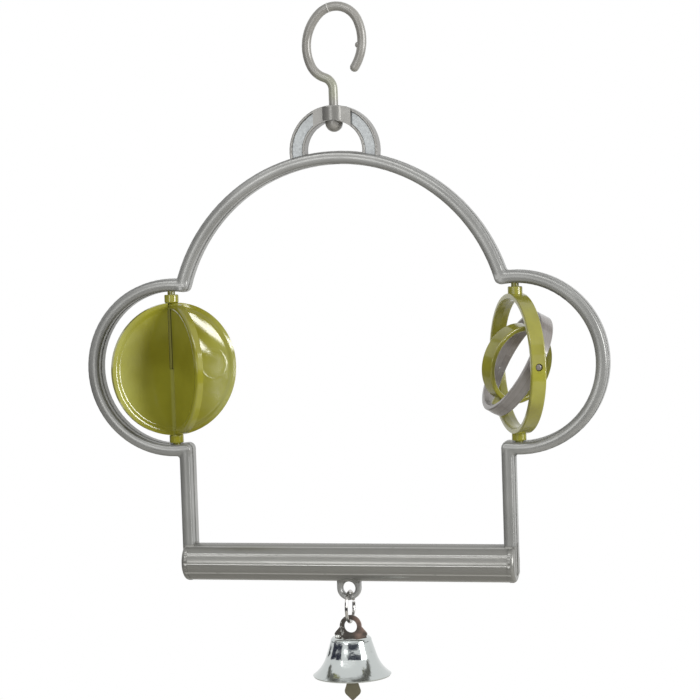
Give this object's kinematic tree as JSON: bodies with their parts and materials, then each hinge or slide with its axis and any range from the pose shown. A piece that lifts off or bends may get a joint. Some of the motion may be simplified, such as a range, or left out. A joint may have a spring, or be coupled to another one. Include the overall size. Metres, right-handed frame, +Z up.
{
  "type": "bird swing",
  "caption": "Hanging bird-cage swing: an arched frame with side lobes holding a disc spinner and nested tumbling rings, a fluted perch below, a swivel hook on top and a bell underneath.",
  "frame": {"origin": "seat of the hook: the inside of its bend, on the swivel axis", "axes": "+X along the perch, towards the ring toy; +Y from the front to the back; +Z up along the swivel axis"},
  "size_m": [0.1594, 0.0382, 0.2081],
  "materials": {
    "frame_plastic": "satin pearl grey moulding",
    "hook_plastic": "satin grey moulding",
    "toy_green": "glossy olive green moulding",
    "ring_grey": "glossy warm grey moulding",
    "link_wire": "plated wire",
    "strap_steel": "worn plated sheet",
    "bell_chrome": "bright plating",
    "clapper_steel": "dull sheet metal"
  },
  "bodies": {
    "hook": {"hook": "hook_plastic"},
    "frame": {"swing_frame": "frame_plastic"},
    "spinner": {"spinner_disc_lower": "toy_green", "spinner_disc_upper": "toy_green"},
    "outer_ring": {"gimbal_outer_ring": "toy_green"},
    "middle_ring": {"gimbal_middle_ring": "ring_grey"},
    "inner_ring": {"gimbal_inner_ring": "toy_green"},
    "link": {"bell_link": "link_wire"},
    "bell": {"bell_shell": "bell_chrome", "bell_strap": "strap_steel"},
    "clapper": {"clapper": "clapper_steel"}
  },
  "joints": [
    {"name": "hook_swivel", "type": "hinge", "parent": "hook", "child": "frame", "pos_m": [0, 0, -0.03], "axis": [0, 0, 1], "continuous": true},
    {"name": "spinner_spin", "type": "hinge", "parent": "frame", "child": "spinner", "pos_m": [-0.05266, 0, -0.10464], "axis": [0, 0, 1], "continuous": true},
    {"name": "ring_spin", "type": "hinge", "parent": "frame", "child": "outer_ring", "pos_m": [0.05266, 0, -0.10464], "axis": [0, 0, 1], "continuous": true},
    {"name": "middle_tumble", "type": "hinge", "parent": "outer_ring", "child": "middle_ring", "pos_m": [0.05266, 0, -0.10464], "axis": [0.4633, -0.8862, 0], "continuous": true},
    {"name": "inner_tumble", "type": "hinge", "parent": "middle_ring", "child": "inner_ring", "pos_m": [0.05266, 0, -0.10464], "axis": [0.4296, 0.2246, 0.8746], "continuous": true},
    {"name": "link_swing", "type": "hinge", "parent": "frame", "child": "link", "pos_m": [0, 0, -0.17384], "axis": [1, 0, 0], "range_deg": [-45, 45]},
    {"name": "bell_swing", "type": "hinge", "parent": "link", "child": "bell", "pos_m": [0, 0, -0.18132], "axis": [0, 1, 0], "range_deg": [-40, 40]},
    {"name": "clapper_swing", "type": "hinge", "parent": "bell", "child": "clapper", "pos_m": [0, 0, -0.18984], "axis": [1, 0, 0], "range_deg": [-45, 45]}
  ]
}
